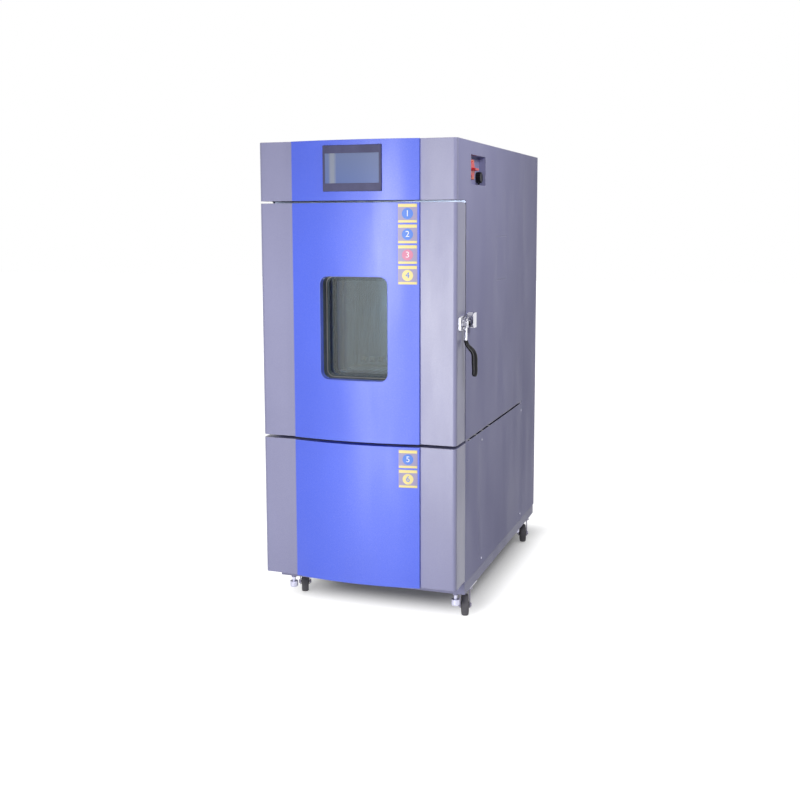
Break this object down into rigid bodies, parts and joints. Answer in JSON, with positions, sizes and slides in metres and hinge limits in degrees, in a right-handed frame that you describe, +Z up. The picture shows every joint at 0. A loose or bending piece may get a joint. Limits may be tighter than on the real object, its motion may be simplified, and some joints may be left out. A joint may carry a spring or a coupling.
{
  "type": "environmental test chamber",
  "caption": "Floor-standing temperature and humidity chamber with a windowed door, side latch, touchscreen head, rear column and swivel casters.",
  "frame": {"origin": "on the floor under the middle of the cabinet, midway between the front strips' bowed panels and the back", "axes": "+X to the right as seen from the front, +Z up, door faces -Y"},
  "size_m": [0.7586, 1.2431, 1.6],
  "materials": {
    "grey_paint": "fine textured powder coat",
    "blue_paint": "satin powder coat",
    "frame_steel": "satin painted steel",
    "stainless": "brushed",
    "chrome": "polished",
    "black_plastic": "moulded",
    "caster_zinc": "bright zinc",
    "foot_steel": "zinc plated",
    "wheel_tread": "matt tread",
    "foam": "closed-cell foam",
    "gasket_rubber": "silicone",
    "window_trim": "dark anodised look",
    "window_glass": "clear toughened",
    "screen_bezel": "moulded",
    "screen_glass": "lit display",
    "switch_orange": "moulded",
    "switch_red": "moulded",
    "machine_black": "black enamel",
    "fin_aluminium": "mill finish"
  },
  "bodies": {
    "cabinet": {"base_frame": "frame_steel", "caster_plates": "caster_zinc", "base_apron": "grey_paint", "base_front_panel": "blue_paint", "base_side_strips": "grey_paint", "base_side_covers": "grey_paint", "side_panel_right": "grey_paint", "side_panel_left": "grey_paint", "service_cover": "grey_paint", "top_cover": "grey_paint", "head_shell": "grey_paint", "head_front_panel": "blue_paint", "touchscreen_bezel": "screen_bezel", "touchscreen_glass": "screen_glass", "rear_column": "grey_paint", "rear_service_panel": "grey_paint", "inner_liner": "stainless", "insulation": "foam", "air_baffle": "stainless", "shelf_uprights": "stainless", "blower_motor": "machine_black", "heater": "stainless", "evaporator": "fin_aluminium", "humidifier_pan": "stainless", "compressor": "machine_black", "condenser": "fin_aluminium", "switch_plate": "switch_orange", "data_socket": "chrome", "test_port_sleeve": "stainless", "keeper_bracket": "chrome", "hinge_body_leaves": "stainless"},
    "door": {"door_shell": "grey_paint", "door_front_panel": "blue_paint", "door_inner_panel": "stainless", "door_gasket": "gasket_rubber", "window_frame": "window_trim", "window_panes": "window_glass", "hinge_door_leaves": "stainless", "latch_base": "chrome"},
    "latch": {"latch_lever": "chrome", "latch_grip": "black_plastic"},
    "keeper_roller": {"keeper_roller": "chrome"},
    "blower": {"circulation_blower": "stainless"},
    "fan": {"condenser_fan": "fin_aluminium"},
    "shelf": {"shelf": "stainless"},
    "main_switch": {"switch_knob": "switch_red"},
    "socket_cap": {"socket_cap": "black_plastic"},
    "port_plug": {"test_port_plug": "gasket_rubber"},
    "caster_front_right": {"caster_fork_front_right": "caster_zinc"},
    "wheel_front_right": {"caster_wheel_front_right": "wheel_tread"},
    "caster_front_left": {"caster_fork_front_left": "caster_zinc"},
    "wheel_front_left": {"caster_wheel_front_left": "wheel_tread"},
    "caster_rear_right": {"caster_fork_rear_right": "caster_zinc"},
    "wheel_rear_right": {"caster_wheel_rear_right": "wheel_tread"},
    "caster_rear_left": {"caster_fork_rear_left": "caster_zinc"},
    "wheel_rear_left": {"caster_wheel_rear_left": "wheel_tread"},
    "foot_front_right": {"levelling_foot_front_right": "foot_steel"},
    "foot_front_left": {"levelling_foot_front_left": "foot_steel"},
    "foot_rear_right": {"levelling_foot_rear_right": "foot_steel"},
    "foot_rear_left": {"levelling_foot_rear_left": "foot_steel"}
  },
  "joints": [
    {"name": "door_hinge", "type": "hinge", "parent": "cabinet", "child": "door", "pos_m": [-0.36, -0.4815, 1.018], "axis": [0, 0, -1], "range_deg": [0, 110]},
    {"name": "latch_turn", "type": "hinge", "parent": "door", "child": "latch", "pos_m": [0.348, -0.5175, 1.022], "axis": [1, 0, 0], "range_deg": [-75, 12]},
    {"name": "keeper_roller_spin", "type": "hinge", "parent": "cabinet", "child": "keeper_roller", "pos_m": [0.349, -0.4575, 1.03], "axis": [1, 0, 0], "continuous": true},
    {"name": "blower_spin", "type": "hinge", "parent": "cabinet", "child": "blower", "pos_m": [0, 0.0445, 1.165], "axis": [0, 1, 0], "continuous": true},
    {"name": "condenser_fan_spin", "type": "hinge", "parent": "cabinet", "child": "fan", "pos_m": [0, 0.3115, 0.299], "axis": [0, 1, 0], "continuous": true},
    {"name": "shelf_slide", "type": "slide", "parent": "cabinet", "child": "shelf", "axis": [0, -1, 0], "range_m": [0, 0.02]},
    {"name": "main_switch_turn", "type": "hinge", "parent": "cabinet", "child": "main_switch", "pos_m": [0.326, -0.3585, 1.512], "axis": [1, 0, 0], "range_deg": [0, 90]},
    {"name": "socket_cap_turn", "type": "hinge", "parent": "cabinet", "child": "socket_cap", "pos_m": [0.32, -0.2565, 1.489], "axis": [1, 0, 0], "range_deg": [-60, 0]},
    {"name": "port_plug_slide", "type": "slide", "parent": "cabinet", "child": "port_plug", "axis": [-1, 0, 0], "range_m": [0, 0.115]},
    {"name": "swivel_front_right", "type": "hinge", "parent": "cabinet", "child": "caster_front_right", "pos_m": [0.3, -0.3455, 0.09], "axis": [0, 0, 1], "continuous": true},
    {"name": "wheel_spin_front_right", "type": "hinge", "parent": "caster_front_right", "child": "wheel_front_right", "pos_m": [0.30865, -0.37213, 0.0375], "axis": [0.9511, 0.309, 0], "continuous": true},
    {"name": "swivel_front_left", "type": "hinge", "parent": "cabinet", "child": "caster_front_left", "pos_m": [-0.3, -0.3455, 0.09], "axis": [0, 0, 1], "continuous": true},
    {"name": "wheel_spin_front_left", "type": "hinge", "parent": "caster_front_left", "child": "wheel_front_left", "pos_m": [-0.31139, -0.31992, 0.0375], "axis": [-0.9135, -0.4067, 0], "continuous": true},
    {"name": "swivel_rear_right", "type": "hinge", "parent": "cabinet", "child": "caster_rear_right", "pos_m": [0.3, 0.5625, 0.09], "axis": [0, 0, 1], "continuous": true},
    {"name": "wheel_spin_rear_right", "type": "hinge", "parent": "caster_rear_right", "child": "wheel_rear_right", "pos_m": [0.30772, 0.53558, 0.0375], "axis": [0.9613, 0.2756, 0], "continuous": true},
    {"name": "swivel_rear_left", "type": "hinge", "parent": "cabinet", "child": "caster_rear_left", "pos_m": [-0.3, 0.5625, 0.09], "axis": [0, 0, 1], "continuous": true},
    {"name": "wheel_spin_rear_left", "type": "hinge", "parent": "caster_rear_left", "child": "wheel_rear_left", "pos_m": [-0.30865, 0.58913, 0.0375], "axis": [-0.9511, -0.309, 0], "continuous": true},
    {"name": "foot_screw_front_right", "type": "slide", "parent": "cabinet", "child": "foot_front_right", "axis": [0, 0, -1], "range_m": [0, 0.06]},
    {"name": "foot_screw_front_left", "type": "slide", "parent": "cabinet", "child": "foot_front_left", "axis": [0, 0, -1], "range_m": [0, 0.06]},
    {"name": "foot_screw_rear_right", "type": "slide", "parent": "cabinet", "child": "foot_rear_right", "axis": [0, 0, -1], "range_m": [0, 0.06]},
    {"name": "foot_screw_rear_left", "type": "slide", "parent": "cabinet", "child": "foot_rear_left", "axis": [0, 0, -1], "range_m": [0, 0.06]}
  ]
}
